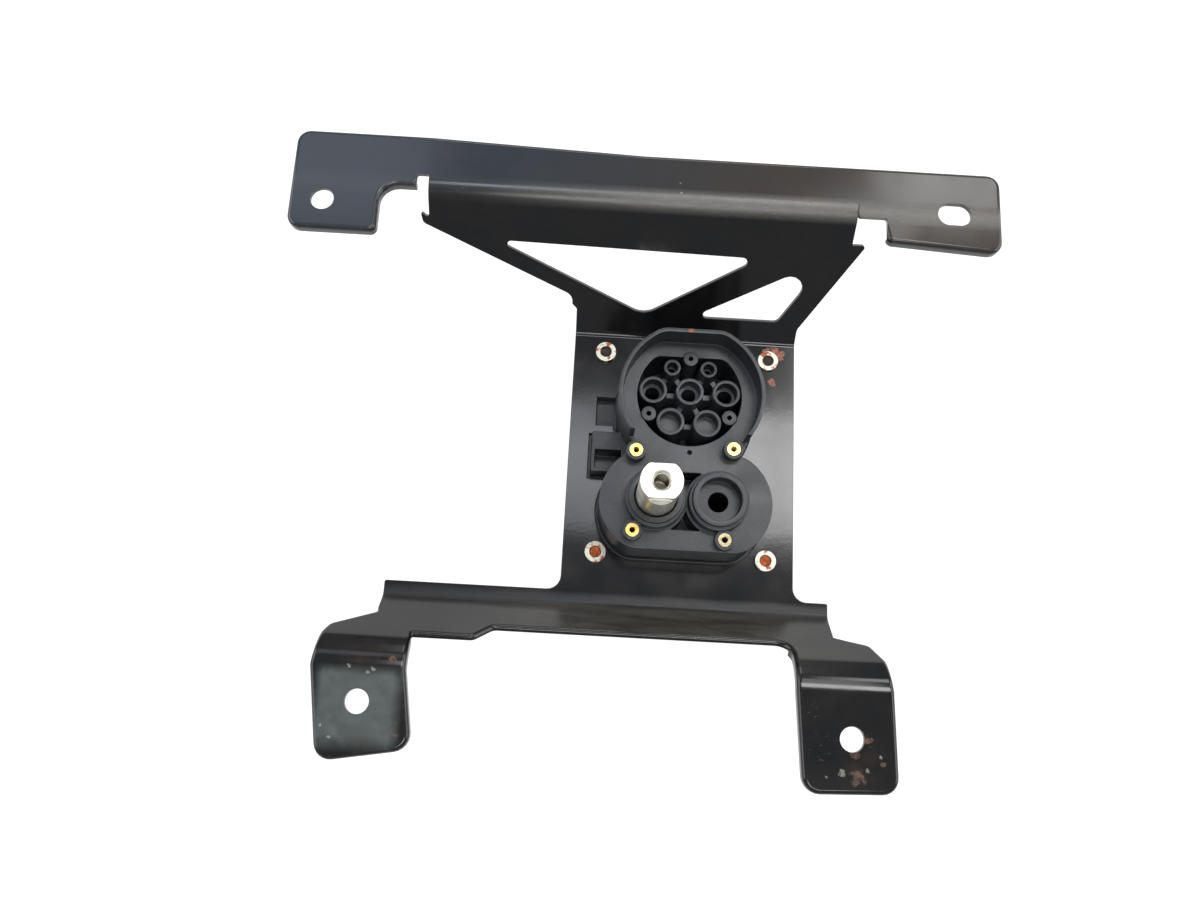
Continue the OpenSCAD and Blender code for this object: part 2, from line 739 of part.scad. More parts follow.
// Points of an arc round a centre, from one angle to another
function arc(mid, r, from, to, steps) =
    [for (k = [0 : steps]) let (t = from + (to - from) * k / steps) mid + r * [cos(t), sin(t)]];

// Centre of the blend in the upper right corner, where a circle of radius r is cut off flat
function blend_mid(r, flat, q) = [sqrt(max(0, (r - q) * (r - q) - (flat - q) * (flat - q))), flat - q];

// A circle with a flat top, the two blended by arcs of radius q
module ac_outline(r, flat, drop, q) {
    c = blend_mid(r, flat, q);
    a = atan2(c.y, c.x);
    translate([0, -drop]) polygon(concat(
        arc([0, 0], r, 180 - a, 360 + a, round_steps),
        arc(c, q, a, 90, corner_steps),
        arc([-c.x, c.y], q, 90, 180 - a, corner_steps)));
}

// The rear body's round, grown or shrunk by a gap
module ac_round(gap) {
    ac_outline(ac_r + gap, ac_flat + gap, ac_drop, ac_corner_r + gap);
}

// Two circles side by side, cut off flat above and below, with blended corners
module dc_outline(gap) {
    q = dc_corner_r + gap;
    c = blend_mid(dc_r + gap, dc_half_h + gap, q);
    a = atan2(c.y, c.x);
    blend = [dc_x + c.x, c.y];
    translate([0, -dc_drop]) polygon(concat(
        arc([dc_x, 0], dc_r + gap, -a, a, round_steps / 2),
        arc(blend, q, a, 90, corner_steps),
        arc([-blend.x, blend.y], q, 90, 180 - a, corner_steps),
        arc([-dc_x, 0], dc_r + gap, 180 - a, 180 + a, round_steps / 2),
        arc(-blend, q, 180 + a, 270, corner_steps),
        arc([blend.x, -blend.y], q, 270, 360 - a, corner_steps)));
}

module rear_outline(gap) {
    ac_round(gap);
    dc_outline(gap);
    for (p = upper_posts) translate(p) circle(d = post_d + 2 * gap);
}

module block_outline(gap) {
    translate([block_left - gap, block_low - gap])
        square([-block_left + 2 * gap - ac_r / 2, block_top - block_low + 2 * gap]);
}

module side_outline() {
    translate([block_left + cut_gap, side_notch_y]) square([side_notch.x, side_notch.y]);
}

module flange_outline() {
    half = [bolt_dx / 2 + flange_edge, bolt_dy / 2 + flange_edge];
    translate(bolt_mid) {
        for (sx = [-1, 1], sy = [-1, 1])
            translate([sx * (half.x - flange_r), sy * (half.y - flange_r)]) circle(flange_r);
        square([2 * half.x, 2 * (half.y - flange_r)], center = true);
        square([2 * (half.x - flange_r), 2 * half.y], center = true);
    }
}

module slab(low, high) {
    translate([0, 0, low]) linear_extrude(high - low) children();
}

module rib(a, b) {
    d = b - a;
    translate([a.x, a.y, recess_floor - cut]) rotate([0, 0, atan2(d.y, d.x)])
        translate([0, -rib_t / 2, 0]) cube([norm(d), rib_t, tube_end - rib_drop - recess_floor + cut]);
}

// Inlet housing

module housing_shell() {
    slab(0, flange_front + cut) {
        ac_round(socket_r - ac_r);
        for (p = dc_contacts) translate(p) circle(socket_dc_r);
        translate([-dc_x, -dc_drop - socket_dc_r]) square([2 * dc_x, 2 * socket_dc_r]);
    }
    slab(flange_front, plate_front) flange_outline();
    slab(plate_front - cut, body_z) rear_outline(0);
    slab(plate_front - cut, plate_z + block_h) block_outline(0);
    slab(body_z - cut, body_z + collar_h) difference() {
        ac_round(0);
        ac_round(-collar_t);
        translate([-ac_r, collar_end_y - 2 * ac_r]) square(2 * ac_r);
    }
    for (p = upper_posts) slab(body_z - cut, body_z + post_high) translate(p) circle(d = post_d);
    for (p = lower_posts) slab(body_z - cut, body_z + post_low) translate(p) circle(d = post_d);
    for (p = dc_contacts) translate([p.x, p.y, body_z - cut]) {
        cylinder(d = ring_d, h = ring_h + cut);
        cylinder(d = ring_lip_d, h = ring_h + ring_lip_h + cut);
    }
}

module housing_hollows() {
    inner = socket_r - socket_t - ac_r;
    slab(-cut, island_drop) ac_round(inner);
    slab(-cut, groove_d) difference() {
        ac_round(inner);
        ac_round(island_r - ac_r);
    }
    slab(recess_floor, body_z + cut) ac_outline(recess_r, recess_flat, recess_drop, recess_corner_r);
    slab(body_z - pocket_d, body_z + cut) difference() {
        translate([-pocket_x, -dc_drop - pocket_y]) square([2 * pocket_x, 2 * pocket_y]);
        for (p = dc_contacts) translate(p) circle(d = ring_d + rib_t);
    }
    slab(plate_front, plate_z + block_h + cut)
        translate([block_left + block_t, block_low + block_t])
            square([-block_left - ac_r + block_t, block_pocket]);
    slab(plate_front - side_pocket, plate_front + cut) side_outline();
    slab(body_z - 2 * bridge_hole_d, body_z + cut) translate(bridge_hole) circle(d = bridge_hole_d);
}

module drafted_tube(p, d) {
    translate([p.x, p.y, recess_floor - cut])
        cylinder(d1 = d + 2 * tube_draft, d2 = d, h = tube_end - recess_floor + cut);
}

module contact_tubes() {
    for (p = concat(open_contacts, blind_contacts)) drafted_tube(p, tube_d);
    for (p = signal_contacts) drafted_tube(p, signal_d);
    for (p = bosses) drafted_tube(p, boss_d);
    for (k = [0, 1]) {
        rib(open_contacts[2 * k], open_contacts[1]);
        rib(blind_contacts[k], open_contacts[1]);
        rib(signal_contacts[k], open_contacts[1]);
        rib(signal_contacts[k], open_contacts[2 * k]);
        rib(blind_contacts[k], bosses[2 - k]);
    }
    rib(blind_contacts[0], blind_contacts[1]);
}

module contact_bores() {
    island_z = island_drop - cut;
    for (p = open_contacts) translate([p.x, p.y, 0]) {
        translate([0, 0, tube_end - tube_step]) cylinder(d = tube_bore, h = tube_step + cut);
        cylinder(d = contact_d, h = tube_end);
        translate([0, 0, island_z]) cylinder(d = front_bore, h = front_bore_d + cut);
    }
    for (p = blind_contacts) translate([p.x, p.y, 0]) {
        translate([0, 0, tube_end - tube_step]) cylinder(d = tube_bore, h = tube_step + cut);
        translate([0, 0, island_z]) cylinder(d = front_bore, h = front_bore_d + cut);
    }
    for (p = signal_contacts) translate([p.x, p.y, 0]) {
        translate([0, 0, tube_end - tube_step]) cylinder(d = signal_bore, h = tube_step + cut);
        cylinder(d = signal_hole, h = tube_end);
        translate([0, 0, island_z]) cylinder(d = front_signal, h = front_bore_d + cut);
    }
    for (p = bosses) translate([p.x, p.y, recess_floor])
        cylinder(d = boss_hole, h = recess_d + tube_rise + cut);
    for (p = dc_contacts) translate([p.x, p.y, 0]) {
        translate([0, 0, -cut]) cylinder(d = well_d, h = well_depth + cut);
        cylinder(d = pin_d + pin_clear, h = ring_end);
        translate([0, 0, ring_floor]) cylinder(d = ring_bore, h = ring_bore_d + cut);
    }
    for (p = upper_posts) translate([p.x, p.y, body_z + post_high - insert_l])
        cylinder(d = insert_d + press_clear, h = insert_l + cut);
    for (p = lower_posts) translate([p.x, p.y, body_z + post_low - insert_l])
        cylinder(d = insert_d + press_clear, h = insert_l + cut);
    for (p = bolts) translate([p.x, p.y, flange_front - cut])
        cylinder(d = sleeve_d + press_clear, h = flange_t + 2 * cut);
}

module inlet_housing() {
    color("#2e3238") difference() {
        union() {
            difference() {
                housing_shell();
                housing_hollows();
            }
            contact_tubes();
        }
        contact_bores();
    }
}

module brass_insert() {
    neck = insert_l / 4;
    translate([0, 0, -insert_l]) rotate_extrude() polygon([
        [insert_bore / 2, 0],
        [insert_d / 2 - insert_groove, 0],
        [insert_d / 2, insert_groove],
        [insert_d / 2, insert_l / 2 - neck / 2],
        [insert_d / 2 - insert_groove, insert_l / 2],
        [insert_d / 2, insert_l / 2 + neck / 2],
        [insert_d / 2, insert_l],
        [insert_bore / 2, insert_l]]);
}

module brass_inserts() {
    color("#d9b34a") {
        for (p = upper_posts) translate([p.x, p.y, body_z + post_high]) brass_insert();
        for (p = lower_posts) translate([p.x, p.y, body_z + post_low]) brass_insert();
    }
}

// DC contact

module at_terminal() {
    translate([-dc_x, -dc_drop, 0]) children();
}

module terminal_turned() {
    tip = pin_drop + guard_l;
    clip_top = well_depth - clip_clear / 2;
    clip_low = clip_top - clip_t - clip_clear;
    groove_r = ring_bore / 2 - seal_d - seal_clear;
    seal_z = ring_floor + seal_up;
    half = seal_d / 2 + seal_clear;
    rotate_extrude() polygon([
        [0, tip], [pin_d / 2, tip],
        [pin_d / 2, clip_low], [pin_d / 2 - clip_groove, clip_low],
        [pin_d / 2 - clip_groove, clip_top], [pin_d / 2, clip_top],
        [pin_d / 2, ring_floor], [terminal_d / 2, ring_floor],
        [terminal_d / 2, seal_z - half], [groove_r, seal_z - half],
        [groove_r, seal_z + half], [terminal_d / 2, seal_z + half],
        [terminal_d / 2, terminal_end], [0, terminal_end]]);
}

module dc_terminal() {
    out = terminal_d / 2 + cut;
    flat_z = terminal_end - terminal_flat_l;
    sink_h = (terminal_sink - terminal_bore) / 2;
    color("#d5d6d4") at_terminal() difference() {
        terminal_turned();
        for (side = [0, 180]) rotate([0, 0, side]) rotate([90, 0, 90])
            translate([0, 0, -out]) linear_extrude(2 * out) polygon([
                [terminal_af / 2, terminal_end + cut],
                [terminal_af / 2, flat_z],
                [out, flat_z - out + terminal_af / 2],
                [out, terminal_end + cut]]);
        translate([0, 0, terminal_end - terminal_bore_l])
            cylinder(d = terminal_bore, h = terminal_bore_l + cut);
        translate([0, 0, terminal_end - sink_h])
            cylinder(d1 = terminal_bore, d2 = terminal_sink + 2 * cut, h = sink_h + cut);
        cylinder(d = guard_spigot + press_clear, h = pin_drop + 2 * guard_l);
    }
}

module dc_o_ring() {
    color("#20242a") at_terminal() translate([0, 0, ring_floor + seal_up]) rotate_extrude()
        translate([(ring_bore - seal_d) / 2 - seal_clear, 0]) circle(d = seal_d);
}

module dc_circlip() {
    inner = pin_d / 2 - clip_groove + clip_clear;
    color("#6f7377") at_terminal() translate([0, 0, well_depth - clip_clear - clip_t])
        rotate([0, 0, clip_gap / 2 - 90]) rotate_extrude(angle = 360 - clip_gap)
            translate([inner, 0]) square([clip_w, clip_t]);
}

module dc_touch_guard() {
    round_r = pin_d / 4;
    color("#17191c") at_terminal() translate([0, 0, pin_drop]) rotate_extrude() {
        translate([0, round_r]) square([pin_d / 2, guard_l - round_r]);
        square([pin_d / 2 - round_r, guard_l]);
        translate([pin_d / 2 - round_r, round_r]) circle(round_r);
        square([guard_spigot / 2, 2 * guard_l - cut]);
    }
}

bracket();
clinch_nuts();
flange_bolts();
compression_sleeves();
inlet_housing();
brass_inserts();
dc_terminal();
dc_o_ring();
dc_circlip();
dc_touch_guard();
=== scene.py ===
# %% [markdown]
# # Charge port inlet on its bracket
# This lesson dresses a finished CAD model. The object is the rear half of a vehicle's charging
# socket: a black moulding bolted to a folded, painted steel bracket, laid face down on a table.
# The CAD model gives every size, and Blender adds what a drawing leaves out: rounded edges,
# threads, paint, moulded plastic, plated metal, rust and scuffs.

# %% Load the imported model
import json
import math

import bmesh
import bpy
from mathutils import Matrix, Quaternion, Vector


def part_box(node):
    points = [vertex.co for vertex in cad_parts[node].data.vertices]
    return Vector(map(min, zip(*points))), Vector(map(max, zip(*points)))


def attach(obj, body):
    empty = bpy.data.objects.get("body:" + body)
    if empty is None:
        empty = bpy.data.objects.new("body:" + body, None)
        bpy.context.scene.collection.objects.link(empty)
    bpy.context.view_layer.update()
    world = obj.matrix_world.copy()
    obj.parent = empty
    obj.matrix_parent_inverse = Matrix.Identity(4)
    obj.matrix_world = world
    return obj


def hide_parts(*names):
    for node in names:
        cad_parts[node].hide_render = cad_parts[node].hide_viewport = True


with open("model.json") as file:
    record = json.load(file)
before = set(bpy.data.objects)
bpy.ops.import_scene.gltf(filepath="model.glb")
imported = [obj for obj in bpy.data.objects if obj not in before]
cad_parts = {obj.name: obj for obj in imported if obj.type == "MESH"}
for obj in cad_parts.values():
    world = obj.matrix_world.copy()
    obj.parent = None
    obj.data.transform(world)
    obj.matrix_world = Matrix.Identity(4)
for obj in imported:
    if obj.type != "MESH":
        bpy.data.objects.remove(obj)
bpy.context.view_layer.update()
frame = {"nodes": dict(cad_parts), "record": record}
MM = 0.001

# %% [markdown]
# ## Camera
# The part lies flat and the camera looks down on it from the feet's side, a little left of the
# middle. A camera is easiest to read as where it stands, what it looks at and how far it is rolled.
# `to_track_quat` turns the first two into a rotation, and the roll is added about the view axis.

# %% Camera
CAMERA_AT = Vector((-40.8, -129.5, 481.4)) * MM
LOOKS_AT = Vector((-37.2, -11.0, 0)) * MM
ROLL = math.radians(4.9)
LENS = 29.6
NEAREST = 10 * MM

camera = bpy.data.objects.new("camera", bpy.data.cameras.new("camera"))
camera.data.lens = LENS
camera.data.clip_start = NEAREST
aim = (LOOKS_AT - CAMERA_AT).to_track_quat("-Z", "Y")
turn = aim @ Quaternion((0, 0, 1), ROLL)
camera.matrix_world = Matrix.LocRotScale(CAMERA_AT, turn, None)
bpy.context.collection.objects.link(camera)
bpy.context.scene.camera = camera
print("camera stands", round((LOOKS_AT - CAMERA_AT).length / MM), "mm from what it looks at")

# %% [markdown]
# ## Helpers for every material
# Colours are written as sRGB hex values, as a paint program shows them. Shaders calculate in
# linear light, so one function converts them. A material is a chain of nodes, and one function
# adds any node: a plain value or a colour goes on an input, and an output of another node becomes
# a link.

# %% Material helpers
def linear(hex_colour):
    """Linear RGBA of an sRGB colour such as "#8a8d88"."""
    parts = [int(hex_colour[i:i + 2], 16) / 255 for i in (1, 3, 5)]
    return [c / 12.92 if c <= 0.04045 else ((c + 0.055) / 1.055) ** 2.4 for c in parts] + [1]


def connect(owner, node, inputs):
    """Sets a node's inputs. Each is a plain value, a hex colour or another node's output."""
    for key, value in inputs.items():
        if isinstance(value, bpy.types.NodeSocket):
            owner.node_tree.links.new(value, node.inputs[key])
        else:
            node.inputs[key].default_value = linear(value) if isinstance(value, str) else value


def add(mat, kind, inputs=None, out=0, **settings):
    """Adds a node to a material and gives one of its outputs, by number or name."""
    node = mat.node_tree.nodes.new("ShaderNode" + kind)
    for key, value in settings.items():
        setattr(node, key, value)
    connect(mat, node, inputs or {})
    return node.outputs[out]


def new_material(name):
    """A node material, its main shader and the place on the object in metres."""
    mat = bpy.data.materials.new(name)
    mat.use_nodes = True
    shader = mat.node_tree.nodes["Principled BSDF"]
    return mat, shader, add(mat, "TexCoord", out="Object")


print("a mid grey is", round(linear("#808080")[0], 3), "in linear light")

# %% [markdown]
# ## Patterns and masks
# Most patterns are noise. Noise is scaled by how many features fit in a metre, so `per_mm` turns a
# real size into that number. A mask is a pattern between 0 and 1 that says where something is.
# Masks are multiplied or added, and a colour is built up in layers, each laid over the last where
# its mask says. Places on the object are short lists of x, y, z and a radius in millimetres.

# %% Pattern helpers
TIMES, PLUS, LESS, MOST, ABOVE = (
    {"operation": name, "use_clamp": True}
    for name in ("MULTIPLY", "ADD", "SUBTRACT", "MAXIMUM", "GREATER_THAN"))
BLEND = {"data_type": "RGBA"}
# The share of a place's radius within which its mask is full.
FULL_WITHIN = 0.2


def per_mm(size):
    """Texture scale at which one feature is about size millimetres across."""
    return 1 / (size * MM)


def blotches(mat, place, size, between, to=(0, 1), detail=3):
    """Soft blotches of a size in mm: noise between two levels is stretched to the range to."""
    field = add(mat, "TexNoise", {"Vector": place, "Scale": per_mm(size), "Detail": detail}, "Fac")
    return add(mat, "MapRange", {"Value": field, "From Min": between[0], "From Max": between[1],
                                 "To Min": to[0], "To Max": to[1]})


def near(mat, place, places):
    """Mask that falls from 1 in the middle of each place to 0 at its radius."""
    total = None
    for x, y, z, radius in places:
        away = add(mat, "VectorMath", {0: place, 1: Vector((x, y, z)) * MM}, "Value",
                   operation="DISTANCE")
        mask = add(mat, "MapRange", {"Value": away, "From Min": radius * MM,
                                     "From Max": FULL_WITHIN * radius * MM})
        total = mask if total is None else add(mat, "Math", {0: total, 1: mask}, **MOST)
    return total


def layered(mat, colour, *layers):
    """Lays colours over a first one. A layer is a mask, how much of it covers, and its colour."""
    for mask, amount, over in layers:
        cover = add(mat, "Math", {0: mask, 1: amount}, **TIMES)
        colour = add(mat, "Mix", {0: cover, 6: colour, 7: over}, 2, **BLEND)
    return colour


print("a 5 mm blotch needs a texture scale of", round(per_mm(5)))

# %% [markdown]
# ## Floor and light
# Product photographs are often taken on a table of milky acrylic that is lit from below, so that
# shadows nearly vanish. On glossy black paint nearly all that the eye sees is a reflection, so the
# lamps above are placed by mirror directions: a long band is where the strap and plate reflect it
# to the camera, a second one in front shines along the strap's bend, and the rest of the sky is
# left dim so that black stays black. Big white sheets stand low at the sides, where no upward face
# mirrors them, and fill the walls with soft light.

# %% Floor
FLOOR_HALF = 3.0
GLOW = 0.86
# Right under the socket the table's glow is taken away, a painted shadow, so that holes
# which go through the housing look dark.
UNDER_SOCKET = [(0, 0, 0, 46), (0, -45, 0, 46)]
# How much steeper than a plain mask the painted shadow under the socket ends.
SHADOW_STEEPNESS = 2.0

table, table_shader, table_place = new_material("opal_acrylic_table")
# Painted shadow on the table: its glow fades out under the socket.
socket_shadow = add(table, "Math", {0: near(table, table_place, UNDER_SOCKET), 1: SHADOW_STEEPNESS}, **TIMES)
outside_socket_shadow = add(table, "Math", {0: 1.0, 1: socket_shadow}, **LESS)
milky = blotches(table, table_place, 40, (0.35, 0.65))
connect(table, table_shader, {
    "Base Color": layered(table, "#999998", (milky, 1, "#9e9e9e")),
    "Roughness": 0.9, "Specular IOR Level": 0.2, "Emission Color": "#ffffff",
    "Emission Strength": add(table, "Math", {0: outside_socket_shadow, 1: GLOW}, **TIMES)})

sheet = bmesh.new()
bmesh.ops.create_grid(sheet, x_segments=8, y_segments=8, size=FLOOR_HALF)
floor_mesh = bpy.data.meshes.new("floor")
sheet.to_mesh(floor_mesh)
sheet.free()
floor = bpy.data.objects.new("floor", floor_mesh)
floor_mesh.materials.append(table)
bpy.context.collection.objects.link(floor)
print("floor", 2 * FLOOR_HALF, "m square")

# %% Lights
CEILING = 1.36
PART = (0, 0, 0.05)
SKY = 0.45
# Lamps that look straight down: name, place on the ceiling, size, strength and colour. In metres.
OVERHEAD = [
    ("band_left", (-0.12, 0.275), (0.46, 0.23), 4.8, "#f6f8ff"),
    ("band_right", (0.34, 0.275), (0.46, 0.23), 10.5, "#ffffff"),
    ("right_fill", (0.42, 0.57), (0.2, 0.36), 3.0, "#ffffff"),
    ("far_corner", (0.6, 0.88), (0.28, 0.24), 5.0, "#ffffff"),
    ("far_left", (-0.62, 0.82), (0.5, 0.3), 1.2, "#dfe8ff"),
    ("front_band", (0.125, -0.52), (0.65, 0.3), 6.6, "#ffffff"),
]
# Sheets that stand round the table and face the part: name, place, size, strength and colour.
STANDING = [
    ("far_wall", (0, 1.8, 1.4), (1.0, 0.8), 2.6, "#ffffff"),
    ("left_sheet", (-1.3, 0.1, 0.75), (1.3, 1.0), 2.6, "#f4f8ff"),
    ("right_sheet", (1.3, 0.1, 0.75), (1.3, 1.0), 2.6, "#ffffff"),
]


def softbox(name, at, looks_at, size, strength, colour):
    """A rectangular light. Its face looks as bright as its strength says, whatever its size."""
    lamp = bpy.data.lights.new(name, "AREA")
    lamp.shape = "RECTANGLE"
    lamp.size, lamp.size_y = size
    lamp.energy = strength * math.pi * size[0] * size[1]
    lamp.color = linear(colour)[:3]
    light = bpy.data.objects.new(name, lamp)
    turned = (Vector(looks_at) - Vector(at)).to_track_quat("-Z", "Y")
    light.matrix_world = Matrix.LocRotScale(Vector(at), turned, None)
    bpy.context.collection.objects.link(light)


for name, (x, y), *looks in OVERHEAD:
    softbox(name, (x, y, CEILING), (x, y, 0), *looks)
for name, at, *looks in STANDING:
    softbox(name, at, PART, *looks)

world = bpy.data.worlds.new("dim_studio")
world.use_nodes = True
connect(world, world.node_tree.nodes["Background"], {"Strength": SKY, "Color": "#eef1f6"})
bpy.context.scene.world = world
bpy.context.scene.view_settings.view_transform = "Standard"

# %% [markdown]
# ## Black paint on folded steel
# The bracket is pressed from 2.5 mm steel sheet and dipped in black electrocoat, a thin satin
# paint. The eye sees a nearly black skin that mirrors the room softly, with a faint orange peel,
# grey dust, rubbed edges, pale scuffs and, where bolts have sat or stones have hit, rust. An image
# could hold all that, but masks made of places and noise stay sharp from every side.

# %% Marks on the bracket
RUST_ON_STEEL = [(-117.9, -120.4, 67.5, 2.4), (-113.6, -150, 67, 2.2), (-114, -145.5, 67, 1.5),
                 (77, -142.6, 68, 2.8), (71.6, -148.3, 68, 2.8), (72.7, -157, 68, 4.2),
                 (83, -151.5, 68, 1.8)]
FRESH_RUST = [(41.6, 16.7, 40, 2.6), (44.9, 29.6, 40, 3.6), (39.5, 31, 40, 3.6), (42.5, 32, 40, 3)]
BROWNED = [(-129, -119.5, 67, 12), (-117, -121, 67, 7), (-114, -138, 67, 6), (-128, -152, 68, 7),
           (74, -152, 68, 12)]
CHIPPED = [(-135.1, -123.7, 68, 1.2), (-127.1, -126.1, 68, 1), (-125.2, -124.8, 68, 1.4),
           (-144, -147.8, 68, 0.7), (-139.9, -152.2, 68, 1.1), (66.3, -155.5, 68, 1.9),
           (76.8, -154.2, 68, 1.5), (82.1, -148.5, 68, 1), (59.9, -157.3, 68, 0.8),
           (-9, 89.3, 90, 0.8), (-8.4, 84.5, 90, 0.8), (47.4, 82.7, 89, 1.1)]
SCRATCHED = [(0, 82, 89, 6), (17.6, 81.5, 89, 7), (33, 81, 89, 7), (48, 81.5, 89, 7),
             (63.6, 81, 89, 6), (81, 79.5, 90, 6), (86, 77.5, 90, 6), (58, -146, 68, 9),
             (54, -132, 68, 5), (-104, 83, 89, 5)]
DUSTY = [(103, 88, 90, 40), (48, -25, 40, 30), (-48, -25, 40, 20)]
DUSTY_LEDGE = [(-8, -100, 48, 95)]
# The two bends run along x, so their marks are places in y and z alone.
# Where the strap's bend gets its scuffs and its painted highlight.
BEND_SCUFF_AND_HIGHLIGHT = [(0, 80.8, 89.0, 6.0)]
LEDGE_BEND = [(0, -91.8, 40.6, 6.0)]
# A spot is the sum of a place's mask and a noise, cut off between two levels. Where the mask is
# next to nothing there is no spot, whatever the noise says.
SPOT_BODY, SPOT_FRINGE = 0.75, 0.55
SPOT_RIM = (0.55, 0.8)
OUTSIDE = 0.001


def spots(mat, place, ragged, places):
    """Mask of places with a hard rim, which a noise makes ragged."""
    soft = near(mat, place, places)
    body = add(mat, "Math", {0: soft, 1: SPOT_BODY}, **TIMES)
    fringe = add(mat, "Math", {0: ragged, 1: SPOT_FRINGE}, **TIMES)
    both = add(mat, "Math", {0: body, 1: fringe}, **PLUS)
    filled = add(mat, "MapRange", {"Value": both, "From Min": SPOT_RIM[0], "From Max": SPOT_RIM[1]})
    inside = add(mat, "Math", {0: soft, 1: OUTSIDE}, **ABOVE)
    return add(mat, "Math", {0: filled, 1: inside}, **TIMES)


print("marks:", sum(map(len, (RUST_ON_STEEL, FRESH_RUST, BROWNED, CHIPPED, SCRATCHED))))

# %% [markdown]
# ### Patterns in the paint
# The same few noises come back in many layers, so they are made once. Scratches and wiped dust are
# noise that is drawn out along one direction, by squeezing the place before the noise reads it.

# %% Patterns in the paint
WIPED = math.radians(25)
DRAWN_OUT = (0.2, 1, 1)

paint, paint_shader, paint_place = new_material("black_electrocoat_steel")
speckle = blotches(paint, paint_place, 1.2, (0.38, 0.62), detail=6)
flaky = blotches(paint, paint_place, 2.2, (0.36, 0.64), detail=6)
mottle = blotches(paint, paint_place, 5, (0.36, 0.64), detail=5)
cloud = blotches(paint, paint_place, 24, (0.38, 0.62))
wiped_place = add(paint, "Mapping", {"Vector": paint_place, "Scale": DRAWN_OUT,
                                     "Rotation": (0, 0, WIPED)})
bend_place = add(paint, "VectorMath", {0: paint_place, 1: (0, 1, 1)}, operation="MULTIPLY")
at_x, at_y, at_z = (add(paint, "SeparateXYZ", {"Vector": paint_place}, axis) for axis in "XYZ")
leaning_back = add(paint, "SeparateXYZ", {"Vector": add(paint, "NewGeometry", out="Normal")}, "Y")
print("patterns take", len(paint.node_tree.nodes), "nodes")

# %% [markdown]
# ### Dust, dull paint and rust
# Dust settles on the ledge, which leans back, and lies thinly in patches elsewhere. The flat of
# the left foot has weathered to a dull greenish grey, up to where its bend begins. The bend under
# the strap is rubbed matt and carries pale streaks, partly scuffs and partly a painted highlight,
# most of all on its right half. A dried film with a painted sheen lies on the strap.

# %% Dust, dull paint and rust
# The left foot's flat: a coordinate, where the dull paint begins and where it is full, in mm.
FOOT_FLAT = [(at_y, -123.0, -127.5), (at_y, -158.0, -151.0), (at_x, -111.5, -117.0),
             (at_x, -149.0, -145.0), (at_z, 67.3, 67.9)]

slope = add(paint, "MapRange", {"Value": leaning_back, "From Min": 0.3, "From Max": 0.75})
wiped_dust = blotches(paint, wiped_place, 4, (0.3, 0.7), (0.22, 0.46), 4)
for part in (wiped_dust, near(paint, paint_place, DUSTY_LEDGE)):
    slope = add(paint, "Math", {0: slope, 1: part}, **TIMES)
dust = add(paint, "Math", {0: spots(paint, paint_place, cloud, DUSTY), 1: 0.05}, **TIMES)
for part in (slope, blotches(paint, paint_place, 5, (0.36, 0.64), (0, 0.012), 5)):
    dust = add(paint, "Math", {0: dust, 1: part}, **PLUS)

dulled = blotches(paint, paint_place, 5, (0.3, 0.7), (0.6, 0.95), 5)
for value, none, full in FOOT_FLAT:
    ramp = add(paint, "MapRange", {"Value": value, "From Min": none * MM, "From Max": full * MM})
    dulled = add(paint, "Math", {0: dulled, 1: ramp}, **TIMES)

# The strap's bend: rubbed matt, with scuffs and a painted highlight that fade out to the left.
scuffed_highlit_bend = add(paint, "MapRange", {"Value": at_x, "From Min": -100 * MM, "From Max": -15 * MM,
                               "To Min": 0.1})
scuffed_highlit_bend = add(paint, "Math", {0: scuffed_highlit_bend, 1: near(paint, bend_place, BEND_SCUFF_AND_HIGHLIGHT)}, **TIMES)
# The strap's flat face, which takes a dried film with a painted sheen.
film_and_sheen = add(paint, "MapRange", {"Value": at_z, "From Min": 88.9 * MM, "From Max": 89.9 * MM})

rusty = add(paint, "Math", {0: spots(paint, paint_place, flaky, RUST_ON_STEEL),
                            1: blotches(paint, paint_place, 1.2, (0.38, 0.62), (0.2, 0.7), 6)}, **TIMES)
fresh = add(paint, "Math", {0: spots(paint, paint_place, flaky, FRESH_RUST),
                            1: blotches(paint, paint_place, 1.2, (0.38, 0.62), (0.4, 0.8), 6)}, **TIMES)
print("with its masks the paint has", len(paint.node_tree.nodes), "nodes")

# %% [markdown]
# ### Colour, gloss and relief of the paint
# The layers follow the paint's own history: black coat, dried film with a painted sheen, dust,
# weathering, scuffs with a painted highlight on the bend, wear and last the rust that breaks
# through. What is dusty, dull or rusty also scatters light, so the same masks raise the roughness.
# The orange peel of a dipped coat is about 1.5 mm wide and a few micrometres high, and rust stands
# up a little.

# %% Colour, gloss and relief of the paint
worn = add(paint, "Attribute", out="Fac", attribute_name="wear_and_highlight")
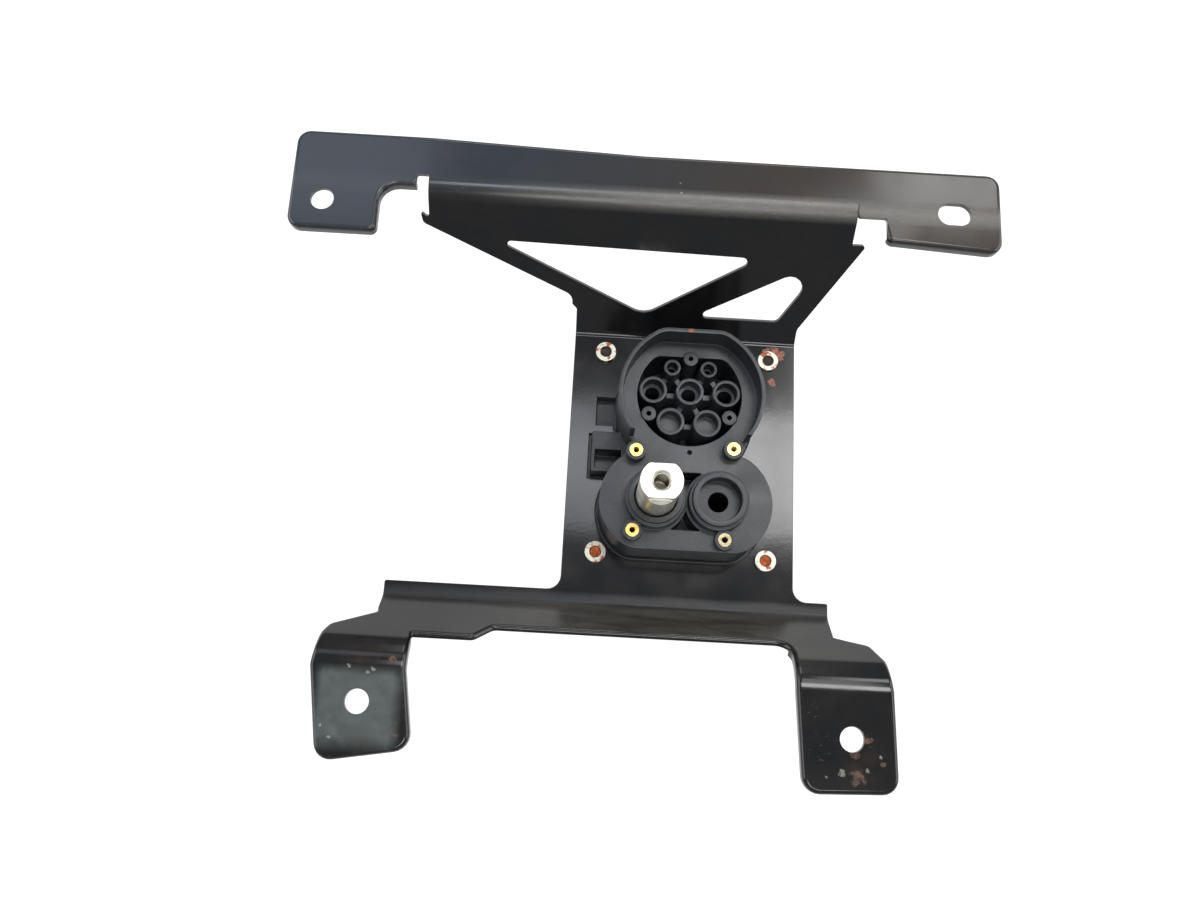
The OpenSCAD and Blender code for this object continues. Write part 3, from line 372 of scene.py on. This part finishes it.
# The dried film, with a painted sheen in it, is bluish grey on the left and brownish on the right.
right_half = add(paint, "MapRange", {"Value": at_x, "From Min": -80 * MM, "From Max": 40 * MM})
bluish = layered(paint, "#2c3138", (cloud, 1, "#303338"))
brownish = layered(paint, "#39332d", (cloud, 1, "#332f2c"))
browning = blotches(paint, paint_place, 5, (0.36, 0.64), (0, 0.6), 5)
streaks = blotches(paint, wiped_place, 1, (0.3, 0.7), (0.34, 0.46), 6)
rubbing = blotches(paint, paint_place, 3, (0.55, 0.75), (0, 0.12), 4)
scratches = blotches(paint, wiped_place, 0.5, (0.62, 0.7), (0, 0.3), 4)
skin = layered(
    paint, "#08090b",
    (cloud, 1, "#0d0c0b"),
    (film_and_sheen, 1, layered(paint, bluish, (right_half, 1, brownish))),
    (dust, 1, "#6b675f"),
    (dulled, 1, "#4d5653"),
    (near(paint, paint_place, BROWNED), browning, "#2e211a"),
    # Pale streaks on the strap's bend: scuffs and a painted highlight.
    (scuffed_highlit_bend, streaks, "#908d86"),
    (worn, rubbing, "#6f6c66"),
    (near(paint, paint_place, SCRATCHED), scratches, "#a8a49b"),
    (spots(paint, paint_place, speckle, CHIPPED), 0.5, "#a5a299"),
    (rusty, 0.8, layered(paint, "#4f3220", (mottle, 1, "#8a5c38"))),
    (fresh, 1, layered(paint, "#8a3f1e", (speckle, 1, "#c46a3c"))))

matt = add(paint, "Math", {0: slope, 1: 1.2}, **TIMES)
for mask in (dulled, rusty, fresh):
    matt = add(paint, "Math", {0: matt, 1: mask}, **MOST)
satin = add(paint, "MapRange", {"Value": cloud, "To Min": 0.1, "To Max": 0.15})
for mask, amount in ((matt, 0.45), (scuffed_highlit_bend, 0.26), (near(paint, bend_place, LEDGE_BEND), 0.3)):
    duller = add(paint, "Math", {0: mask, 1: amount}, **TIMES)
    satin = add(paint, "Math", {0: satin, 1: duller}, **PLUS)

peel = blotches(paint, paint_place, 1.5, (0.2, 0.8), (0, 0.15), 1)
flakes_up = add(paint, "Math", {0: rusty, 1: speckle}, **TIMES)
relief = add(paint, "Math", {0: peel, 1: flakes_up}, **PLUS)
connect(paint, paint_shader, {
    "Base Color": skin, "Roughness": satin, "IOR": 1.5,
    "Normal": add(paint, "Bump", {"Height": relief, "Strength": 0.5, "Distance": 0.05 * MM})})
print(paint.name, "with", len(paint.node_tree.nodes), "nodes")

# %% [markdown]
# ## From drawn edges to real ones
# A drawing has knife edges and no real part has. Each piece starts as a copy of its CAD node. The
# import has split vertices and triangles, so it is welded and its flat regions are joined again.
# Then every sharp edge is bevelled, and the new narrow faces are remembered in a face attribute,
# because edges are where hands and tools take the finish off; on the housing the same faces carry
# a painted highlight. A bevel in mesh code is chosen over a modifier here because it can treat one
# kind of edge differently from another.

# %% Helpers for dressed pieces
WELD = 0.02
FLAT_ANGLE = math.radians(0.3)
SHARP_ANGLE = math.radians(32)
SMOOTH_ANGLE = math.radians(38)


def welded_copy(node, weld=WELD, join_flats=True):
    """The node's mesh as a closed bmesh, its flat regions joined if asked. Weld is in mm."""
    bm = bmesh.new()
    bm.from_mesh(frame["nodes"][node].data)
    bmesh.ops.remove_doubles(bm, verts=bm.verts, dist=weld * MM)
    if join_flats:
        bmesh.ops.dissolve_limit(bm, angle_limit=FLAT_ANGLE, verts=bm.verts, edges=bm.edges)
    bm.faces.layers.float.new("wear_and_highlight")
    bm.normal_update()
    return bm


def sharp_edges(bm, shortest):
    """Edges that turn sharply, apart from slivers shorter than a length in mm."""
    return [e for e in bm.edges if len(e.link_faces) == 2 and e.calc_length() > shortest * MM
            and e.calc_face_angle() > SHARP_ANGLE]


def soften(bm, edges, width, steps=2):
    """Bevels these edges to a width in mm and marks the new faces, for edge wear and a painted
    highlight.
    """
    made = bmesh.ops.bevel(bm, geom=edges, offset=width * MM, segments=steps, profile=0.5,
                           affect="EDGES", offset_type="OFFSET", clamp_overlap=False)
    layer = bm.faces.layers.float["wear_and_highlight"]
    for face in made["faces"]:
        face[layer] = 1
    bm.normal_update()


def finish_piece(bm, name, material, slot, *nodes):
    """Turns a bmesh into a smooth shaded piece that stands for its CAD nodes."""
    for face in bm.faces:
        face.smooth = True
    for edge in bm.edges:
        edge.smooth = len(edge.link_faces) != 2 or edge.calc_face_angle() < SMOOTH_ANGLE
    mesh = bpy.data.meshes.new(name)
    bm.to_mesh(mesh)
    bm.free()
    mesh.materials.append(material)
    piece = bpy.data.objects.new(name, mesh)
    bpy.context.collection.objects.link(piece)
    even = piece.modifiers.new("even_shading", "WEIGHTED_NORMAL")
    even.keep_sharp = True
    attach(piece, "root")
    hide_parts(*nodes)
    print(name, len(mesh.polygons), "faces")


print("CAD pieces:", sorted(frame["nodes"]))

# %% [markdown]
# ## Bracket
# The bracket's outer edges are turned down like a tray's rim, and sheet never folds to a knife
# edge: the outside of such a fold is a round of about the sheet's thickness. Cut edges, such as
# the windows' and holes', only have their burr taken off. On the strap the two are told apart by
# the height of the wall below the edge, which is taller than the sheet where a rim is turned.
# Round the ledge and the feet the press rolled every outer edge over.

# %% Turned rims
RIM_WALL = 4.0
STRAP_FROM, FEET_FROM = 88.0, -101.0
HOLE_RIM = 5.5
# Limits on a face normal's parts, by which the sides of the sheet are told apart.
UPWARD, FLAT_ON_TOP, UPRIGHT = 0.5, 0.9, 0.35
FORWARD, SIDEWAYS = -0.05, 0.1
foot_holes = [Vector(m["pos_m"]) for m in frame["record"]["mounts"] if "foot_hole" in m["name"]]


def wall_height(edge, face):
    """How far a face reaches from one of its edges, in mm."""
    start = edge.verts[0].co
    along = (edge.verts[1].co - start).normalized()
    reach = [(v.co - start) - along * (v.co - start).dot(along) for v in face.verts]
    return max(r.length for r in reach) / MM


def is_upper(face):
    """True for the upper side of the sheet round the feet: the ledge, the bends and the flats."""
    x, y, z = face.normal
    return z > UPWARD and y > FORWARD and abs(x) < SIDEWAYS


def is_rim(edge):
    """True where an upper face meets the wall of a turned edge, on the strap or round the feet."""
    if len(edge.link_faces) != 2 or not edge.is_convex or edge.calc_face_angle() < SHARP_ANGLE:
        return False
    top, wall = sorted(edge.link_faces, key=lambda f: -f.normal.z)
    middle = (edge.verts[0].co + edge.verts[1].co) / 2
    if middle.y / MM < FEET_FROM:
        in_hole = any((middle - hole).xy.length < HOLE_RIM * MM for hole in foot_holes)
        return is_upper(top) != is_upper(wall) and not in_hole
    on_strap = middle.z / MM > STRAP_FROM
    turned_down = top.normal.z > FLAT_ON_TOP and abs(wall.normal.z) < UPRIGHT
    return on_strap and turned_down and wall_height(edge, wall) > RIM_WALL


print("holes in the feet, which keep plain edges:", len(foot_holes))

# %% Bracket
# The CAD folds lie a hair under the sheets that they join, so here the weld closes that step too.
SEAM_WELD = 0.26
RIM_ROUND, RIM_STEPS = 2.0, 5
BURR_ROUND, BURR_SHORTEST = 0.3, 0.2
bracket = welded_copy("bracket", SEAM_WELD)
rims = [e for e in bracket.edges if is_rim(e)]
print("turned rim", round(sum(e.calc_length() for e in rims) / MM), "mm long")
soften(bracket, rims, RIM_ROUND, RIM_STEPS)
soften(bracket, sharp_edges(bracket, BURR_SHORTEST), BURR_ROUND)
finish_piece(bracket, "folded_bracket", paint, "coated_sheet_steel", "bracket")

# %% [markdown]
# ## Moulded housing
# The housing is injection moulded in glass-filled polyamide, dyed black. Its mould was spark
# eroded, which leaves a fine satin grain. The eye sees a charcoal that is matt on the flats, with a
# painted highlight that makes the rims a little lighter, dust in the recesses and a few specks of
# rust that fell off the steel.

# %% Polyamide material
RUST_ON_PLASTIC = [(-1.5, 23.8, 83, 1.6), (-30.1, 8, 83, 1.4), (-32.6, -0.7, 70, 1.3),
                   (-3.9, 20.1, 74, 1.2)]
DUSTY_PLASTIC = [(-25, -4, 70, 12), (2, -26.5, 70, 14), (27, -2, 70, 7)]
DUSTY_RECESS = [(0, 0, 46, 28)]

moulding, moulding_shader, moulding_place = new_material("moulded_black_polyamide")
rim_highlight = add(moulding, "Attribute", out="Fac", attribute_name="wear_and_highlight")
fog = blotches(moulding, moulding_place, 14, (0.35, 0.65))
grit = blotches(moulding, moulding_place, 0.9, (0.4, 0.6), detail=5)
patchy = blotches(moulding, moulding_place, 14, (0.35, 0.65), (0, 0.2))
charcoal = layered(
    moulding, "#14161a",
    (fog, 1, "#1d2025"),
    # Painted highlight: the bevelled rims are drawn a little lighter.
    (rim_highlight, 0.35, "#454a53"),
    (grit, 0.03, "#9a9a96"),
    (near(moulding, moulding_place, DUSTY_PLASTIC), patchy, "#8d9095"),
    (near(moulding, moulding_place, DUSTY_RECESS), 0.4, "#8d9095"),
    (spots(moulding, moulding_place, grit, RUST_ON_PLASTIC), 1, "#8c4524"))
# Spark erosion pits are about 0.05 mm wide. They are drawn at 0.35 mm so that they show.
pits = blotches(moulding, moulding_place, 0.35, (0.3, 0.7), detail=2)
connect(moulding, moulding_shader, {
    "Base Color": charcoal, "IOR": 1.53,
    "Roughness": add(moulding, "MapRange", {"Value": fog, "To Min": 0.3, "To Max": 0.42}),
    "Normal": add(moulding, "Bump", {"Height": pits, "Strength": 0.35, "Distance": 0.03 * MM})})
print(moulding.name, "with", len(moulding.node_tree.nodes), "nodes")

# %% Housing
MOULD_ROUND, MOULD_SHORTEST = 0.35, 0.25
housing = welded_copy("inlet_housing", join_flats=False)
soften(housing, sharp_edges(housing, MOULD_SHORTEST), MOULD_ROUND)
finish_piece(housing, "moulded_housing", moulding, "moulded_plastic", "inlet_housing")

# %% [markdown]
# ## Clinch nuts and bolts
# Four zinc plated nuts are pressed into the plate's corners. Their zinc has aged to a warm silver
# that dulls in patches, and rust has broken through it here and there. The bolts come from the
# front, and only their rusted ends are seen, down inside the nuts. The lower two have rusted to
# bright orange, and the upper two are still dark.

# %% Zinc and rust materials
UPPER_FROM, UPPER_FULL = -10 * MM, 10 * MM

zinc, zinc_shader, zinc_place = new_material("zinc_plated_steel")
zinc_cloud = blotches(zinc, zinc_place, 2.5, (0.35, 0.65), detail=5)
zinc_rust = blotches(zinc, zinc_place, 3.2, (0.54, 0.62), detail=6)
connect(zinc, zinc_shader, {
    "Base Color": layered(zinc, "#aca797", (zinc_cloud, 1, "#d3d0c4"), (zinc_rust, 1, "#9a4a22")),
    "Metallic": add(zinc, "Math", {0: 1.0, 1: zinc_rust}, **LESS),
    "Roughness": add(zinc, "MapRange", {"Value": zinc_cloud, "To Min": 0.3, "To Max": 0.5}),
    "Normal": add(zinc, "Bump", {"Height": zinc_rust, "Strength": 0.4, "Distance": 0.05 * MM})})

rust, rust_shader, rust_place = new_material("rusted_steel")
flakes = blotches(rust, rust_place, 1.4, (0.35, 0.65), detail=6)
bolt_y = add(rust, "SeparateXYZ", {"Vector": rust_place}, "Y")
upper = add(rust, "MapRange", {"Value": bolt_y, "From Min": UPPER_FROM, "From Max": UPPER_FULL})
orange = layered(rust, "#7a3517", (flakes, 1, "#c8662f"))
dark = layered(rust, "#1d1b1a", (flakes, 1, "#4a3a30"))
connect(rust, rust_shader, {
    "Base Color": layered(rust, orange, (upper, 1, dark)), "Roughness": 0.85,
    "Normal": add(rust, "Bump", {"Height": flakes, "Strength": 0.6, "Distance": 0.15 * MM})})
print("zinc and rust with", len(zinc.node_tree.nodes), "and", len(rust.node_tree.nodes), "nodes")

# %% Nuts and bolts
nuts = welded_copy("clinch_nuts")
soften(nuts, sharp_edges(nuts, shortest=0.1), width=0.25)
finish_piece(nuts, "zinc_clinch_nuts", zinc, "zinc_plated_steel", "clinch_nuts")

bolts = welded_copy("flange_bolts")
soften(bolts, sharp_edges(bolts, shortest=0.1), width=0.3)
finish_piece(bolts, "rusted_bolts", rust, "rusted_steel", "flange_bolts")

# %% [markdown]
# ## Threads
# The brass inserts and the contact's tapped end have an inside thread. Its crests are a ridge of
# triangular section that winds up the bore, made as one closed strip: three points at every step
# of the turn, joined to the next three. A bump would not show in a hole that is seen at a slant.

# %% Thread helper
TURN_STEPS = 30
# The ridge's foot is sunk into the bore's wall by this much, in mm.
SINK = 0.03
# Height of a crest and half its width, as shares of the pitch.
CREST_HEIGHT, CREST_HALF = 0.32, 0.36


def inside_thread(bm, x, y, low, high, bore, pitch):
    """Winds the crests of a thread up a bore at x, y, between two heights. All in mm."""
    half = CREST_HALF * pitch
    foot, crest = bore / 2 + SINK, bore / 2 - CREST_HEIGHT * pitch
    count = int((high - low - 2 * half) / pitch * TURN_STEPS)
    rows = []
    for i in range(count + 1):
        angle = 2 * math.pi * i / TURN_STEPS
        z = low + half + pitch * i / TURN_STEPS
        section = [(foot, z - half), (crest, z), (foot, z + half)]
        rows.append([bm.verts.new(Vector((x + r * math.cos(angle), y + r * math.sin(angle), h)) * MM)
                     for r, h in section])
    for a, b in zip(rows, rows[1:]):
        for i in range(3):
            bm.faces.new((a[i], a[(i + 1) % 3], b[(i + 1) % 3], b[i]))
    bm.faces.new(reversed(rows[0]))
    bm.faces.new(rows[-1])
    print("thread of", round(count / TURN_STEPS, 1), "turns")


# %% [markdown]
# ## Brass inserts
# Threaded brass sleeves are pushed hot into the posts so that a screw does not strip the plastic.
# Turned brass is a warm yellow metal that clouds in patches. The lower right insert has tarnished
# to a dull grey brown.

# %% Brass inserts
INSERT_BORE, INSERT_PITCH, INSERT_LENGTH = 2.5, 0.5, 8.0
INSERT_LEAD = 0.4
TARNISHED = [(16.3, -64.8, 74, 9)]

brass, brass_shader, brass_place = new_material("turned_brass")
tarnish = blotches(brass, brass_place, 2.2, (0.35, 0.65), detail=4)
bright = layered(brass, "#d9b04a", (tarnish, 1, "#f1d98c"))
dull = layered(brass, "#6f664c", (tarnish, 1, "#a39a7c"))
connect(brass, brass_shader, {
    "Base Color": layered(brass, bright, (near(brass, brass_place, TARNISHED), 1.5, dull)),
    "Metallic": 1.0,
    "Roughness": add(brass, "MapRange", {"Value": tarnish, "To Min": 0.2, "To Max": 0.34})})

inserts = welded_copy("brass_inserts")
soften(inserts, sharp_edges(inserts, shortest=0.08), width=0.12)
threaded = INSERT_LENGTH / 2 - INSERT_LEAD
for mount in frame["record"]["mounts"]:
    if mount["name"].startswith("cover_thread"):
        x, y, middle = Vector(mount["pos_m"]) / MM
        inside_thread(inserts, x, y, middle - threaded, middle + threaded, INSERT_BORE, INSERT_PITCH)
finish_piece(inserts, "brass_thread_inserts", brass, "turned_brass", "brass_inserts")

# %% [markdown]
# ## The contact
# The one contact left is a turned copper rod, plated bright with nickel. It has two flats for a
# spanner and a tapped hole for the cable's lug. The tool leaves rings on its end, which spread
# highlights across them.

# %% Plated contact
LUG_BORE, LUG_PITCH = 6.8, 1.25
LUG_DEPTH, LUG_LEAD = 16.0, 1.0
# Feed marks are about 0.1 mm apart. They are drawn 1.2 mm apart so that they show.
FEED_MARKS = 1.2
# At a scale of 1 the wave texture's rings are this far apart.
WAVE_STEP = 2 * math.pi / 20

lug_axis = next(Vector(m["pos_m"]) for m in frame["record"]["mounts"]
                if m["name"] == "cable_lug_thread")
plated, plated_shader, plated_place = new_material("nickel_plated_copper")
from_axis = add(plated, "VectorMath", {0: plated_place, 1: (lug_axis.x, lug_axis.y, 0)},
                operation="SUBTRACT")
rings = add(plated, "TexWave", {"Vector": from_axis, "Scale": per_mm(FEED_MARKS) * WAVE_STEP}, "Fac",
            wave_type="RINGS", rings_direction="Z")
haze = blotches(plated, plated_place, 5, (0.35, 0.65), detail=4)
connect(plated, plated_shader, {
    "Base Color": layered(plated, "#e9e4d4", (haze, 1, "#f4f1e6")), "Metallic": 1.0,
    "Roughness": add(plated, "MapRange", {"Value": haze, "To Min": 0.3, "To Max": 0.4}),
    "Normal": add(plated, "Bump", {"Height": rings, "Strength": 0.12, "Distance": 0.02 * MM})})

terminal = welded_copy("dc_terminal")
soften(terminal, sharp_edges(terminal, shortest=0.1), width=0.25)
lug_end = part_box("dc_terminal")[1].z / MM
inside_thread(terminal, lug_axis.x / MM, lug_axis.y / MM, lug_end - LUG_DEPTH, lug_end - LUG_LEAD,
              LUG_BORE, LUG_PITCH)
finish_piece(terminal, "plated_contact", plated, "plated_copper", "dc_terminal")

# %% [markdown]
# ## Pieces that keep their CAD shape
# The seal, the circlip, the pin's insulating tip and the sleeves inside the flange are small plain
# rings that hardly show, so their CAD nodes stay and only get a finish: black rubber, phosphated
# spring steel that is nearly black, moulded plastic and bare grey steel.

# %% Small parts
ROUGHNESS_SPREAD = 0.12
# Node, material, two tones, size of the blotches in mm, roughness and metallic.
SMALL = [
    ("dc_o_ring", "nitrile_rubber", "#0c0c0d", "#17181a", 1.5, 0.55, 0.0),
    ("dc_circlip", "phosphated_spring_steel", "#2a2826", "#474441", 1.2, 0.42, 1.0),
    ("dc_touch_guard", "moulded_black_polyamide_tip", "#141517", "#202226", 3.0, 0.42, 0.0),
    ("compression_sleeves", "bare_rolled_steel", "#8f8b84", "#b3afa7", 2.0, 0.38, 1.0),
]
for node, name, darker, lighter, size, roughness, metallic in SMALL:
    mat, shader, place = new_material(name)
    tone = blotches(mat, place, size, (0.35, 0.65), detail=4)
    connect(mat, shader, {
        "Base Color": layered(mat, darker, (tone, 1, lighter)), "Metallic": metallic,
        "Roughness": add(mat, "MapRange", {"Value": tone, "To Min": roughness,
                                           "To Max": roughness + ROUGHNESS_SPREAD})})
    frame["nodes"][node].material_slots[0].material = mat
    print(node, "is", name)
